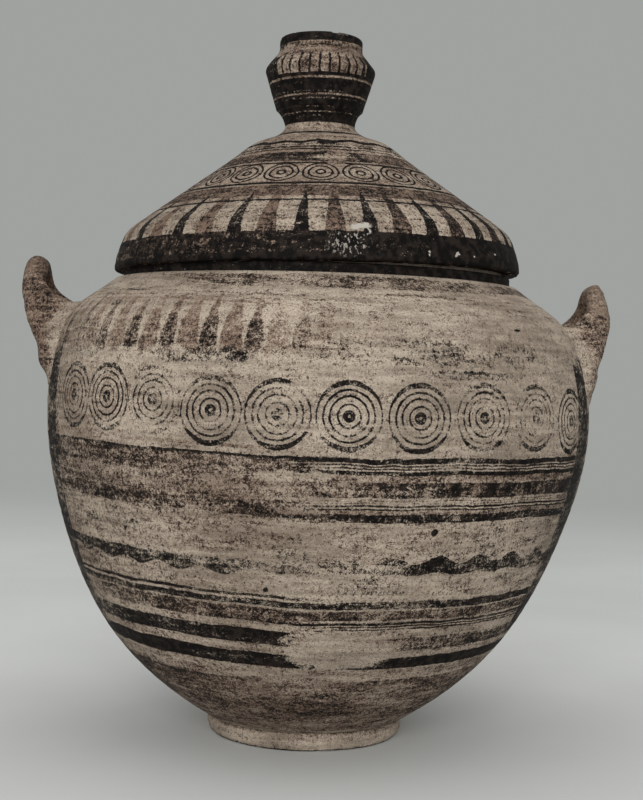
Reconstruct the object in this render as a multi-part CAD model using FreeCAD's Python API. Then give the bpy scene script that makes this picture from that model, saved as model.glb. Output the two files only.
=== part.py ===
"""A lidded storage jar of painted earthenware: an ovoid pot on a ring foot, with two upright loop
handles on its shoulder, and a conical lid whose knob is a small keeled cup.

Millimetres. +Z is up. The origin is on the pot's axis, at the plane that the foot rests on.
The loop handles stand on +X (right) and -X (left).

Nearly every piece is a turned one, so each is drawn as a flat section in the XZ plane, where x is
the radius and z the height, and is then turned about the Z axis. The pieces are those that a
potter shapes one by one and lutes together with wet clay, so they meet face to face.
"""

import FreeCAD
import Part
import math
import os

from FreeCAD import Vector

# ---- foot and floor ----------------------------------------------------------------------------
FOOT_RADIUS = 68.0  # widest radius of the ring foot
FOOT_HEIGHT = 13.0  # from the table to the joint with the pot
FOOT_WALL = 13.0  # width of the ring that stands on the table
FOOT_TUCK = 2.5  # how far the ring draws in at the table
FOOT_CREASE = 1.5  # how far the ring draws in under the pot
FLOOR_INSET = 8.0  # from the foot's widest radius to the edge of the floor
FLOOR_THICKNESS = 12.0

# ---- pot wall ----------------------------------------------------------------------------------
# The outer surface passes through six circles. Each rise is the height above the circle below.
POT_WALL = 9.0
BASE_STEP = 1.4  # how far the wall stands out past the foot, at their joint
BASE_SLOPE = 31.0  # degrees above the horizontal, where the wall leaves the foot
FLANK_RISE = 62.0  # the lower flank
FLANK_INSET = 47.8  # how far inside the belly's radius it is
SIDE_RISE = 75.0  # the upper flank
SIDE_INSET = 12.8
BELLY_RISE = 78.0  # the widest circle, where the lower and the upper wall are joined
BELLY_RADIUS = 187.0
SHOULDER_RISE = 57.0  # where the side turns in to the shoulder
SHOULDER_INSET = 15.6
BROW_RISE = 26.0  # the shoulder's top edge, where the collar stands
BROW_LEDGE = 4.6  # how far it stands out past the collar
BROW_SLOPE = 38.0  # degrees below the horizontal, of the shoulder at its top edge

# ---- mouth collar ------------------------------------------------------------------------------
COLLAR_RADIUS = 134.0  # outer radius
COLLAR_WALL = 10.0
COLLAR_HEIGHT = 6.5  # from the shoulder's top edge up to the lid's seat

# ---- lid: each rise is above the circle below it -----------------------------------------------
LID_WALL = 9.0
LID_OVERHANG = 6.5  # how far the lid's lower edge stands out past the collar
LID_EDGE_ROUND = 2.0  # rounding of the lower outer edge
SEAT_OVERLAP = 6.0  # how much of the collar's top the skirt covers
SKIRT_RISE = 16.5  # where the steep skirt starts to turn in
SKIRT_DRAFT = 3.5  # how far inside the lid's edge that is
LUTING_RISE = 7.5  # the joint of skirt and cone
LUTING_INSET = 7.7
BEND_RISE = 8.5  # where the curve runs out into the straight cone
BEND_INSET = 17.1
CONE_RISE = 56.0  # the straight cone's height
NECK_RISE = 14.8  # from there up to the knob's joint
NECK_SPREAD = 21.3  # how far the neck spreads from the knob down to the cone

# ---- locating flange inside the lid ------------------------------------------------------------
FLANGE_CLEARANCE = 1.3  # radial gap between the flange and the collar's bore
FLANGE_WALL = 7.0
FLANGE_DEPTH = 12.0  # below the seat

# ---- knob: a small cup with a sharp keel; each rise is above the circle below it ----------------
STEM_RADIUS = 24.4  # at the joint with the lid
ANKLE_RISE = 11.5  # where the cup's side begins
ANKLE_RADIUS = 31.2
KEEL_RISE = 27.3  # the sharp widest edge
KEEL_RADIUS = 39.9
LIP_BASE_RISE = 12.7  # where the upright lip starts
LIP_RADIUS = 29.7
LIP_RISE = 9.7
KNOB_WALL = 5.0
KNOB_FLOOR = 9.0
KEEL_ROUND = 2.6  # size of the rounding at the keel and under the lip

# ---- loop handles: heights are above the belly's joint ------------------------------------------
HANDLE_HALF_SPAN = 43.0  # from the middle of the loop to the middle of each leg
HANDLE_REACH = 19.2  # how far the loop stands out past the belly
GRIP_RISE = 85.5  # middle of the grip, at the top of the loop
GRIP_DEPTH = 17.4  # section of the grip, measured outwards from the pot
GRIP_THICKNESS = 16.4  # and measured across that
GRIP_SLANT = 1.6  # how far the grip leans back at the top of the loop
SHANK_RISE = 42.0  # where the legs are already spreading towards their roots
SHANK_REACH = 10.4  # how far they stand out past the belly there
WEB_RISE = 57.5  # where the clay web inside each leg meets the shoulder
ROOT_RISE = -2.0  # the lowest part of the roots
ROOT_SINK = 4.0  # how deep in the wall the legs end, before they are trimmed to its surface
ROOT_DEPTH = 32.0  # how far in from there the web goes, before the same trim
ROOT_THICKNESS = 32.0  # width of the smeared root along the wall
LEFT_HANDLE_LIFT = 4.5  # the left handle was set on a little higher
RIGHT_HANDLE_LIFT = -4.5  # and the right one a little lower

# ---- worked out from the above -----------------------------------------------------------------
AXIS = Vector(0, 0, 1)
ORIGIN = Vector(0, 0, 0)
FLOOR_RADIUS = FOOT_RADIUS - FLOOR_INSET
FLOOR_TOP = FOOT_HEIGHT + FLOOR_THICKNESS
FLANK_HEIGHT = FOOT_HEIGHT + FLANK_RISE
SIDE_HEIGHT = FLANK_HEIGHT + SIDE_RISE
BELLY_HEIGHT = SIDE_HEIGHT + BELLY_RISE
SHOULDER_HEIGHT = BELLY_HEIGHT + SHOULDER_RISE
BROW_HEIGHT = SHOULDER_HEIGHT + BROW_RISE
MOUTH_RADIUS = COLLAR_RADIUS - COLLAR_WALL
SEAT_HEIGHT = BROW_HEIGHT + COLLAR_HEIGHT
LID_RADIUS = COLLAR_RADIUS + LID_OVERHANG
SKIRT_BORE = COLLAR_RADIUS - SEAT_OVERLAP
SKIRT_HEIGHT = SEAT_HEIGHT + SKIRT_RISE
LUTING_HEIGHT = SKIRT_HEIGHT + LUTING_RISE
BEND_HEIGHT = LUTING_HEIGHT + BEND_RISE
CONE_TOP_HEIGHT = BEND_HEIGHT + CONE_RISE
KNOB_BASE = CONE_TOP_HEIGHT + NECK_RISE


# ---- drawing helpers ---------------------------------------------------------------------------
def at(radius, height):
    """A point of a section."""
    return Vector(radius, 0, height)


def line(start, end):
    return Part.LineSegment(start, end).toShape()


def arc(start, middle, end):
    return Part.Arc(start, middle, end).toShape()


def chain(*points):
    """Straight edges from point to point."""
    return [line(a, b) for a, b in zip(points, points[1:])]


def section(edges):
    """A flat face inside a closed run of edges."""
    return Part.Face(Part.Wire(edges))


def band(inner, outer, low, high):
    """A rectangular section between two radii and two heights."""
    corners = [at(inner, low), at(outer, low), at(outer, high), at(inner, high)]
    return section(chain(*corners, corners[0]))


def turn(face):
    """The solid that a section sweeps in a full turn about the axis."""
    return face.Faces[0].revolve(ORIGIN, AXIS, 360)


def heading(degrees):
    """A unit direction in the section plane, at an angle above the outward horizontal."""
    return Vector(math.cos(math.radians(degrees)), 0, math.sin(math.radians(degrees)))


def unit(start, end):
    """The direction from one point to another."""
    step = end - start
    step.normalize()
    return step


def smooth(points, first=None, last=None):
    """A smooth curve through points, with its direction at each end where one is given."""
    curve = Part.BSplineCurve()
    if first is None:
        curve.interpolate(points)
    else:
        curve.interpolate(Points=points, InitialTangent=first, FinalTangent=last)
    return curve


def radius_at(curve, height):
    """The radius of a rising curve at a height, found by halving the curve's range."""
    low, high = curve.FirstParameter, curve.LastParameter
    for _ in range(50):
        middle = (low + high) / 2
        if curve.value(middle).z < height:
            low = middle
        else:
            high = middle
    return curve.value(low).x


# ---- the pot's surfaces ------------------------------------------------------------------------
def pot_curve():
    """The outer line of the pot, from the foot to the shoulder's top edge."""
    points = [
        at(FOOT_RADIUS + BASE_STEP, FOOT_HEIGHT),
        at(BELLY_RADIUS - FLANK_INSET, FLANK_HEIGHT),
        at(BELLY_RADIUS - SIDE_INSET, SIDE_HEIGHT),
        at(BELLY_RADIUS, BELLY_HEIGHT),
        at(BELLY_RADIUS - SHOULDER_INSET, SHOULDER_HEIGHT),
        at(COLLAR_RADIUS + BROW_LEDGE, BROW_HEIGHT),
    ]
    return smooth(points, heading(BASE_SLOPE), heading(180 - BROW_SLOPE))


def inner_curve(curve):
    """The inner line of the pot, set in from the outer one by the wall's thickness."""
    first, last = curve.FirstParameter, curve.LastParameter
    steps = 12
    points = []
    for i in range(steps + 1):
        place = first + (last - first) * i / steps
        along = curve.tangent(place)[0]
        points.append(curve.value(place) + Vector(-along.z, 0, along.x) * POT_WALL)
    return smooth(points)


def pot_outline(curve):
    """The whole pot as a filled section, with nothing hollowed out."""
    edges = chain(curve.EndPoint, at(0, BROW_HEIGHT), at(0, FOOT_HEIGHT), curve.StartPoint)
    return section([curve.toShape()] + edges)


def pot_hollow(curve):
    """The space inside the wall, above the floor, as a section that runs out through the mouth."""
    inner = inner_curve(curve)
    low, high = inner.StartPoint, inner.EndPoint
    onward = inner.tangent(inner.LastParameter)[0]
    past_mouth = high + onward * (2 * (BROW_HEIGHT - high.z) / onward.z)
    edges = chain(high, past_mouth, at(0, past_mouth.z), at(0, low.z), low)
    return section([inner.toShape()] + edges).cut(band(0, BELLY_RADIUS, 0, FLOOR_TOP))


# ---- pieces of the pot -------------------------------------------------------------------------
def foot_ring():
    inner = FOOT_RADIUS - FOOT_WALL
    low = at(FOOT_RADIUS - FOOT_TUCK, 0)
    high = at(FOOT_RADIUS - FOOT_CREASE, FOOT_HEIGHT)
    side = arc(low, at(FOOT_RADIUS, FOOT_HEIGHT / 2), high)
    return turn(section([side] + chain(high, at(inner, FOOT_HEIGHT), at(inner, 0), low)))


def floor_disc():
    return turn(band(0, FLOOR_RADIUS, FOOT_HEIGHT, FLOOR_TOP))


def pot_walls(curve):
    """The lower and the upper wall, which meet in a level joint at the belly."""
    floor = band(0, FLOOR_RADIUS, FOOT_HEIGHT, FLOOR_TOP)
    mouth = band(0, MOUTH_RADIUS, BELLY_HEIGHT, BROW_HEIGHT)
    wall = pot_outline(curve).cut(pot_hollow(curve)).cut(floor).cut(mouth)
    below = band(0, 2 * BELLY_RADIUS, 0, BELLY_HEIGHT)
    return turn(wall.common(below)), turn(wall.cut(below))


def mouth_collar():
    return turn(band(MOUTH_RADIUS, COLLAR_RADIUS, BROW_HEIGHT, SEAT_HEIGHT))


# ---- handles -----------------------------------------------------------------------------------
def oval(centre, across, outward, half_across, half_outward):
    """A closed oval wire about a centre, with its half axes along two directions."""
    long_axis, short_axis = outward * half_outward, across * half_across
    if half_outward < half_across:
        long_axis, short_axis = short_axis, long_axis
    return Part.Wire([Part.Ellipse(centre + long_axis, centre + short_axis, centre).toShape()])


def handle_guides(curve, base):
    """The outer and the inner side of a loop handle, seen from the front of the pot."""
    wall_at_leg = math.sqrt(radius_at(curve, base + ROOT_RISE) ** 2 - HANDLE_HALF_SPAN ** 2)
    shoulder_at_leg = math.sqrt(radius_at(curve, base + WEB_RISE) ** 2 - HANDLE_HALF_SPAN ** 2)
    outermost = BELLY_RADIUS + HANDLE_REACH
    grip = base + GRIP_RISE
    outer = smooth([
        at(wall_at_leg - ROOT_SINK, base + ROOT_RISE),
        at(BELLY_RADIUS + SHANK_REACH, base + SHANK_RISE),
        at(outermost, grip - GRIP_THICKNESS),
        at(outermost - GRIP_SLANT, grip),
    ])
    inner = smooth([
        at(wall_at_leg - ROOT_SINK - ROOT_DEPTH, base + ROOT_RISE),
        at(shoulder_at_leg - ROOT_SINK, base + WEB_RISE),
        at(outermost - GRIP_DEPTH - GRIP_SLANT, grip - GRIP_THICKNESS),
        at(outermost - GRIP_DEPTH - GRIP_SLANT, grip),
    ])
    return outer, inner


def loop_handle(curve, lift):
    """A loop handle on the +X side: two legs that rise from long smeared roots to a round grip."""
    base = BELLY_HEIGHT + lift
    outer, inner = handle_guides(curve, base)
    rise = GRIP_RISE - ROOT_RISE
    outward = Vector(1, 0, 0)
    stations = 16
    rings = []
    for i in range(stations + 1):
        turned = math.pi * i / stations
        side, up = -math.cos(turned), math.sin(turned)
        height = base + ROOT_RISE + rise * up
        outer_side, inner_side = radius_at(outer, height), radius_at(inner, height)
        centre = Vector((outer_side + inner_side) / 2, side * HANDLE_HALF_SPAN, height)
        along = Vector(0, up * HANDLE_HALF_SPAN, -side * rise)
        along.normalize()
        thickness = GRIP_THICKNESS + (ROOT_THICKNESS - GRIP_THICKNESS) * (1 - up) ** 2
        half_depth = (outer_side - inner_side) / 2
        rings.append(oval(centre, along.cross(outward), outward, thickness / 2, half_depth))
    return Part.makeLoft(rings, True, False).cut(turn(pot_outline(curve)))


def handles(curve):
    right = loop_handle(curve, RIGHT_HANDLE_LIFT)
    left = loop_handle(curve, LEFT_HANDLE_LIFT)
    left.rotate(ORIGIN, AXIS, 180)
    return left, right


# ---- pieces of the lid -------------------------------------------------------------------------
def cone_line():
    """The lower and the upper end of the lid's straight cone."""
    return at(LID_RADIUS - BEND_INSET, BEND_HEIGHT), at(STEM_RADIUS + NECK_SPREAD, CONE_TOP_HEIGHT)


def under_cone(radius):
    """The height of the cone's underside at a radius."""
    bend, cone_top = cone_line()
    uphill = unit(bend, cone_top)
    start = bend + Vector(-uphill.z, 0, uphill.x) * LID_WALL
    return start.z + (radius - start.x) * uphill.z / uphill.x


def lid_outline():
    """The lid as a filled section, with nothing hollowed out."""
    bend, cone_top = cone_line()
    uphill = unit(bend, cone_top)
    low = at(LID_RADIUS - LID_EDGE_ROUND, SEAT_HEIGHT)
    high = at(LID_RADIUS, SEAT_HEIGHT + LID_EDGE_ROUND)
    middle = at(low.x, high.z) + heading(-45) * LID_EDGE_ROUND
    skirt = smooth(
        [high, at(LID_RADIUS - SKIRT_DRAFT, SKIRT_HEIGHT),
         at(LID_RADIUS - LUTING_INSET, LUTING_HEIGHT), bend],
        heading(95),
        uphill,
    )
    stem = at(STEM_RADIUS, KNOB_BASE)
    neck = smooth([cone_top, stem], uphill, heading(100))
    edges = [arc(low, middle, high), skirt.toShape(), line(bend, cone_top), neck.toShape()]
    return section(edges + chain(stem, at(0, KNOB_BASE), at(0, SEAT_HEIGHT), low))


def lid_hollow():
    """The space under the lid: a cone inside the cone, over a straight bore inside the skirt."""
    ceiling = KNOB_BASE - LID_WALL
    slope = under_cone(1) - under_cone(0)
    points = [
        at(0, SEAT_HEIGHT),
        at(SKIRT_BORE, SEAT_HEIGHT),
        at(SKIRT_BORE, under_cone(SKIRT_BORE)),
        at((ceiling - under_cone(0)) / slope, ceiling),
        at(0, ceiling),
    ]
    return section(chain(*points, points[0]))


def lid_shells():
    """The skirt and the cone, which meet in a level joint."""
    shell = lid_outline().cut(lid_hollow())
    below = band(0, 2 * LID_RADIUS, 0, LUTING_HEIGHT)
    return turn(shell.common(below)), turn(shell.cut(below))


def lid_flange():
    """A ring luted into the angle of skirt and cone.

    Its shoulder rests on the collar, and its lip drops into the mouth.
    """
    lip = MOUTH_RADIUS - FLANGE_CLEARANCE
    inner = lip - FLANGE_WALL
    points = [
        at(inner, SEAT_HEIGHT - FLANGE_DEPTH),
        at(lip, SEAT_HEIGHT - FLANGE_DEPTH),
        at(lip, SEAT_HEIGHT),
        at(SKIRT_BORE, SEAT_HEIGHT),
        at(SKIRT_BORE, under_cone(SKIRT_BORE)),
        at(inner, under_cone(inner)),
    ]
    return turn(section(chain(*points, points[0])))


def rounded(before, corner, after, size):
    """An arc across the corner of two straight runs, with its two ends."""
    start, end = corner + unit(corner, before) * size, corner + unit(corner, after) * size
    return arc(start, corner * 0.5 + (start + end) * 0.25, end), start, end


def knob_cup():
    """The small cup that serves as the knob, hollow like the vases it copies."""
    foot = at(STEM_RADIUS, KNOB_BASE)
    ankle = at(ANKLE_RADIUS, foot.z + ANKLE_RISE)
    keel = at(KEEL_RADIUS, ankle.z + KEEL_RISE)
    lip_base = at(LIP_RADIUS, keel.z + LIP_BASE_RISE)
    top = lip_base.z + LIP_RISE
    lip_round = KNOB_WALL / 2
    lip_top = at(LIP_RADIUS, top - lip_round)
    keel_arc, keel_low, keel_high = rounded(ankle, keel, lip_base, KEEL_ROUND)
    lip_arc, lip_low, lip_high = rounded(keel, lip_base, lip_top, KEEL_ROUND)
    waist = (foot + ankle) * 0.5 + heading(150) * KEEL_ROUND / 2
    bore = LIP_RADIUS - KNOB_WALL
    bore_top = at(bore, lip_top.z)
    outside = [
        arc(foot, waist, ankle),
        line(ankle, keel_low),
        keel_arc,
        line(keel_high, lip_low),
        lip_arc,
        line(lip_high, lip_top),
        arc(lip_top, at(LIP_RADIUS - lip_round, top), bore_top),
    ]
    inside = chain(
        bore_top,
        at(bore, lip_base.z),
        at(keel.x - KNOB_WALL, keel.z),
        at(ankle.x - KNOB_WALL, ankle.z),
        at(foot.x - KNOB_WALL, foot.z + KNOB_FLOOR),
        at(0, foot.z + KNOB_FLOOR),
        at(0, foot.z),
        foot,
    )
    return turn(section(outside + inside))


# ---- build and save ----------------------------------------------------------------------------
def build():
    curve = pot_curve()
    lower_wall, shoulder_wall = pot_walls(curve)
    handle_left, handle_right = handles(curve)
    lid_rim, lid_cone = lid_shells()
    return {
        "foot_ring": foot_ring(),
        "floor_disc": floor_disc(),
        "lower_wall": lower_wall,
        "shoulder_wall": shoulder_wall,
        "mouth_collar": mouth_collar(),
        "handle_left": handle_left,
        "handle_right": handle_right,
        "lid_rim": lid_rim,
        "lid_cone": lid_cone,
        "lid_flange": lid_flange(),
        "knob_cup": knob_cup(),
    }


os.makedirs("parts", exist_ok=True)
for name, shape in build().items():
    shape.exportStep(f"parts/{name}.step")
    box = shape.optimalBoundingBox(False)
    print(
        f"{name}: {len(shape.Solids)} solid, valid {shape.isValid()}, {shape.Volume / 1000:.1f} cm3,"
        f" x {box.XMin:.1f}..{box.XMax:.1f}, y {box.YMin:.1f}..{box.YMax:.1f},"
        f" z {box.ZMin:.1f}..{box.ZMax:.1f}"
    )
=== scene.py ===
# %% [markdown]
# # A lidded storage jar of painted earthenware
#
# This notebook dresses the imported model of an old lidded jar. The real jar is made of soft clay pieces:
# a wall thrown in two stages, a foot ring, a low collar, two rolled handles, and a lid whose knob is a
# tiny cup. They are joined with wet clay, painted with slip (thin coloured clay), and fired once.
#
# Everything is in metres in the model's own frame, so nothing is fitted by hand: each new piece starts
# from the section of the solid that it stands for.

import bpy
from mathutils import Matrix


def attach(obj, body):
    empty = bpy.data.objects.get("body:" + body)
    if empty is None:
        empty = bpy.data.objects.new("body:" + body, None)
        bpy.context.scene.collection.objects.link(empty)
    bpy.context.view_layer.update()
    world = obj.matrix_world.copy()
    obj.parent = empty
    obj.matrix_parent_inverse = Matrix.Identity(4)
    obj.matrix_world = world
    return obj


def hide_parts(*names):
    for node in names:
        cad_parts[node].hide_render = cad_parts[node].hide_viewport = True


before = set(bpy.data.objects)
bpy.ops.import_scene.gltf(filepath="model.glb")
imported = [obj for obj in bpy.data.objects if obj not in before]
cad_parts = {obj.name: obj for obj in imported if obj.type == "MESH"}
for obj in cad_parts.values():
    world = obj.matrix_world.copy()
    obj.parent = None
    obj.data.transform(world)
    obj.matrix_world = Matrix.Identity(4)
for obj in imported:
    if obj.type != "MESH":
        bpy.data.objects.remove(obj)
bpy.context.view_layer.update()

# %% The tools of this notebook
import functools
import math

import bmesh
import bpy
import numpy as np
from mathutils import Matrix, Vector, noise

MM = 0.001

# %% [markdown]
# ## Reading a section
#
# A thrown pot is a solid of revolution, so one cut through its wall says everything about its shape.
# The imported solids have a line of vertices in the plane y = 0, where the turning began and ended.
# Followed from vertex to vertex it gives the section. This is better than typing the radii again,
# because the pieces then meet exactly as the solids do.


# %% Follow the cut from vertex to vertex
def cut_points(name):
    """The (radius, height) points of a turned solid in the plane y = 0, in order, in millimetres.

    The walk starts at the lowest outer corner. A jump between two heights goes by way of the axis.
    """
    solid = bmesh.new()
    solid.from_mesh(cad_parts[name].data)
    bmesh.ops.remove_doubles(solid, verts=solid.verts, dist=1e-6)
    left = {v for v in solid.verts if abs(v.co.y) < 1e-6 and v.co.x > 1e-6}
    here = min(left, key=lambda v: (round(v.co.z, 5), -v.co.x))
    points = [(here.co.x / MM, here.co.z / MM)]
    left.remove(here)
    while left:
        beside = [e.other_vert(here) for e in here.link_edges if e.other_vert(here) in left]
        if beside:
            after = max(beside, key=lambda v: v.co.x) if len(points) == 1 else min(
                beside, key=lambda v: (v.co - here.co).length)
        else:
            after = min(left, key=lambda v: (v.co - here.co).length)
            if abs(after.co.z - here.co.z) > 1e-4:
                points += [(0.0, here.co.z / MM), (0.0, after.co.z / MM)]
        here = after
        left.remove(here)
        points.append((here.co.x / MM, here.co.z / MM))
    if abs(points[-1][1] - points[0][1]) > 0.1:
        points += [(0.0, points[-1][1]), (0.0, points[0][1])]
    solid.free()
    return points


for node_name in ("lower_wall", "lid_cone", "knob_cup"):
    section = cut_points(node_name)
    print(node_name, len(section), "points, from", section[0], "to", section[-1])

# %% [markdown]
# ## A smoother and finer section
#
# The cut is a chain of short straight edges. The clay is smooth, so more points are put on the curve
# through the old ones. Only true corners stay, and those that show are rounded a little, because wet
# fingers never leave a knife edge.

# %% Points along a smooth curve
CORNER = math.radians(20)


def is_corner(before, here, after):
    """Whether the section turns sharply at a point."""
    coming, going = here - before, after - here
    return coming.length < 1e-6 or going.length < 1e-6 or coming.angle(going) > CORNER


def curve_between(before, start, end, after, step):
    """Points from start up to end, on a smooth curve that also heeds the two neighbours."""
    span = (end - start).length
    lead = span if before is None else (start - before).length
    tail = span if after is None else (after - end).length
    chord = (end - start) / span
    first = chord if before is None else ((start - before) / lead * span + chord * lead) / (span + lead)
    last = chord if after is None else ((after - end) / tail * span + chord * tail) / (span + tail)
    count = max(1, round(span / step))
    points = []
    for i in range(count):
        t = i / count
        points.append(
            start * (2 * t ** 3 - 3 * t ** 2 + 1) + end * (3 * t ** 2 - 2 * t ** 3)
            + first * span * (t ** 3 - 2 * t ** 2 + t) + last * span * (t ** 3 - t ** 2)
        )
    return points


def refined(points, step, inner_step):
    """The closed section with more points: fine outside, where it shows, and coarser inside."""
    ring = [Vector(p) for p in points]
    size = len(ring)
    sharp = [is_corner(ring[i - 1], ring[i], ring[(i + 1) % size]) for i in range(size)]
    top = max(range(size), key=lambda i: (round(ring[i].y, 3), ring[i].x))
    result = []
    for i in range(size):
        start, end = ring[i], ring[(i + 1) % size]
        if start.x == 0 and end.x == 0:
            continue
        before = None if sharp[i] else ring[i - 1]
        after = None if sharp[(i + 1) % size] else ring[(i + 2) % size]
        result += curve_between(before, start, end, after, step if i < top else inner_step)
        if end.x == 0:
            result.append(end)
    return result


# %% Round the corners that show
def rounded(points, corners):
    """The section with some of its corners cut back to small arcs: corners is {(r, z): size}."""
    for place, size in corners.items():
        spot = Vector(place)
        nearest = min(points, key=lambda p: (p - spot).length)
        arc_points = []
        kept = [p for p in points if (p - nearest).length >= size]
        index = points.index(nearest)
        onward = points[index + 1:] + points[:index]
        on = next(p for p in onward if (p - nearest).length >= size)
        back = next(p for p in reversed(onward) if (p - nearest).length >= size)
        start = nearest + (back - nearest).normalized() * size
        end = nearest + (on - nearest).normalized() * size
        for k in range(6):
            t = k / 5
            arc_points.append(start * (1 - t) ** 2 + nearest * 2 * t * (1 - t) + end * t ** 2)
        at = kept.index(back) + 1
        points = kept[:at] + arc_points + kept[at:]
    return points


# %% [markdown]
# ## Turning a piece
#
# A wheel does what the Spin tool does: it carries one section round an axis. The section is drawn as
# a potter's template would be. A tiny plane is added at the first point and merged to a single vertex,
# which is then extruded from point to point. Spin is slow on a full turn of many steps, so it makes a
# quarter, which the Mirror modifier repeats on both sides. The seams are then merged, and the normals
# are made to face out.

# %% Draw a section and spin it
QUARTER_STEPS = 96


def draw_section(name, points):
    """A chain of edges in the plane y = 0, closed unless it ends on the axis."""
    bpy.ops.object.select_all(action="DESELECT")
    first = points[0]
    bpy.ops.mesh.primitive_plane_add(size=MM, location=(first.x * MM, 0, first.y * MM))
    bpy.ops.object.transform_apply(location=True, rotation=True, scale=True)
    piece = bpy.context.object
    piece.name = piece.data.name = name
    bpy.ops.object.mode_set(mode="EDIT")
    bpy.ops.mesh.merge(type="CENTER")
    for start, end in zip(points, points[1:]):
        move = ((end.x - start.x) * MM, 0, (end.y - start.y) * MM)
        bpy.ops.mesh.extrude_vertices_move(TRANSFORM_OT_translate={"value": move})
    if points[-1].x > 0:
        edited = bmesh.from_edit_mesh(piece.data)
        for vertex in edited.verts:
            vertex.select_set(len(vertex.link_edges) == 1)
        edited.select_flush_mode()
        bmesh.update_edit_mesh(piece.data)
        bpy.ops.mesh.edge_face_add()
    return piece


def turned(name, points):
    """A closed solid of revolution from a section."""
    piece = draw_section(name, points)
    bpy.ops.mesh.select_all(action="SELECT")
    bpy.ops.mesh.spin(steps=QUARTER_STEPS, angle=math.pi / 2, center=(0, 0, 0), axis=(0, 0, 1))
    bpy.ops.object.mode_set(mode="OBJECT")
    mirror = piece.modifiers.new("both sides", "MIRROR")
    mirror.use_axis = (True, True, False)
    mirror.merge_threshold = 2e-6
    bpy.ops.object.modifier_apply(modifier=mirror.name)
    bpy.ops.object.mode_set(mode="EDIT")
    bpy.ops.mesh.select_all(action="SELECT")
    bpy.ops.mesh.remove_doubles(threshold=2e-6)
    bpy.ops.mesh.normals_make_consistent(inside=False)
    bpy.ops.object.mode_set(mode="OBJECT")
    return piece


# %% [markdown]
# ## The marks of the hand
#
# No jar is perfectly round. Each surface is pressed in by a few tenths of a millimetre. The real jar also
# sags a little to one side at the belly, its lid is fuller than a straight cone and sits askew, and its
# knob leans to the left. All these rules depend only on the place and are the same for every piece, so
# neighbouring pieces stay flush where they are joined.


# %% Press the clay in
def vectors(parts, kind):
    """One vector of each vertex or face, as the rows of an array."""
    flat = np.empty(3 * len(parts))
    parts.foreach_get(kind, flat)
    return flat.reshape(-1, 3)


def put_back(piece, places):
    piece.data.vertices.foreach_set("co", (places * MM).ravel())
    piece.data.update()


def hand_marks(angle, height):
    """How far the outer surface is pressed in: slow waves, and the faint ridges of the fingers."""
    waves = 0.22 * (1 + np.sin(2 * angle + 0.7)) + 0.10 * (1 + np.sin(5 * angle + height / 31))
    ridges = 0.07 * (1 + np.sin(height * 0.92 + angle)) + 0.05 * (1 + np.sin(height * 0.37 - 2 * angle))
    return waves + ridges


def finger_ridges(angle, height):
    """The deeper spiral that the fingers leave on the inside, where nobody smooths it."""
    return 0.45 * (1 + np.sin(height * 0.70 + angle)) + 0.15 * (1 + np.sin(height * 0.23 - angle))


# all in mm: how far the belly sags to the right, and at what height, and what the lid and knob do
BELLY_SAG, SAG_HEIGHT, SAG_SPREAD = 3.9, 212, 85
LID_FULLER, NECK_FULLER = 2.4, 2.4
NECK_LOW, KNOB_FOOT, KNOB_KEEL = 410, 420.5, 432
KNOB_NARROWER = 0.026  # per mm of the radius
KNOB_ASIDE = 1.5


def ramp_up(value, start, end):
    """0 before start and 1 after end, with a smooth rise between them."""
    t = np.clip((value - start) / (end - start), 0, 1)
    return t * t * (3 - 2 * t)


def hill(value, low, full, still_full, high):
    """0 below low and above high, 1 from full to still_full, with smooth slopes between them."""
    return ramp_up(value, low, full) * (1 - ramp_up(value, still_full, high))


def out_of_true(places):
    """Carry points to where the potter's hands left them."""
    east, height = places[:, 0], places[:, 2]
    radius = np.maximum(np.hypot(east, places[:, 1]), 1e-6)
    sag = BELLY_SAG * np.exp(-((height - SAG_HEIGHT) / SAG_SPREAD) ** 2) * hill(height, 10, 90, 260, 305)
    fuller = LID_FULLER * hill(height, 330, 352, 392, 418)
    neck = NECK_FULLER * hill(height, 392, 408, NECK_LOW, KNOB_FOOT)
    narrower = KNOB_NARROWER * radius * ramp_up(height, KNOB_FOOT, KNOB_KEEL)
    aside = KNOB_ASIDE * ramp_up(height, NECK_LOW, KNOB_KEEL)
    scale = 1 + (neck + fuller - narrower) / radius
    places[:, 0] = east * scale + sag - aside
    places[:, 1] *= scale
    return places


# %% Chip an edge, and press a whole piece in
CHIP_REACH = 4.0


def chips(places, edge, depth):
    """How far an edge at some height is knocked back, in mm."""
    near = np.clip(1 - np.abs(places[:, 2] - edge) / CHIP_REACH, 0, 1)
    worst = near > 0
    bites = np.zeros(len(places))
    bites[worst] = [noise.noise(Vector(p) / 6.5) + 0.5 * noise.noise(Vector(p) / 2.6) for p in places[worst]]
    return near * np.clip(bites - 0.12, 0, 0.5) * 2 * depth


def press(piece, inner_marks=None, chipped_edge=None):
    """Press every vertex towards the axis, or outwards into the wall where it lies inside the pot."""
    places = vectors(piece.data.vertices, "co") / MM
    normals = vectors(piece.data.vertices, "normal")
    radius = np.hypot(places[:, 0], places[:, 1])
    angle = np.arctan2(places[:, 0], -places[:, 1])
    safe = np.maximum(radius, 1e-6)
    facing = (normals[:, 0] * places[:, 0] + normals[:, 1] * places[:, 1]) / safe
    depth = hand_marks(angle, places[:, 2]) * np.clip(radius / 60, 0.25, 1)
    change = np.where(facing > 0.02, -depth, 0.0)
    if inner_marks is not None:
        change = np.where(facing < -0.02, inner_marks(angle, places[:, 2]), change)
    change = np.where(radius > 1, change, 0)
    if chipped_edge is not None:
        knocked = chips(places, *chipped_edge)
        places -= normals * knocked[:, None]
    places[:, :2] *= (1 + change / safe)[:, None]
    places[radius > 1] = out_of_true(places)[radius > 1]
    put_back(piece, places)
    print(piece.name, len(places), "vertices, pressed in by up to", round(float(depth.max()), 2), "mm")


# %% Set the lid askew
LID_TILT = 0.018  # the lid sits askew: so many mm higher per mm to the right
LID_LIFT = 0.4


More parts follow.
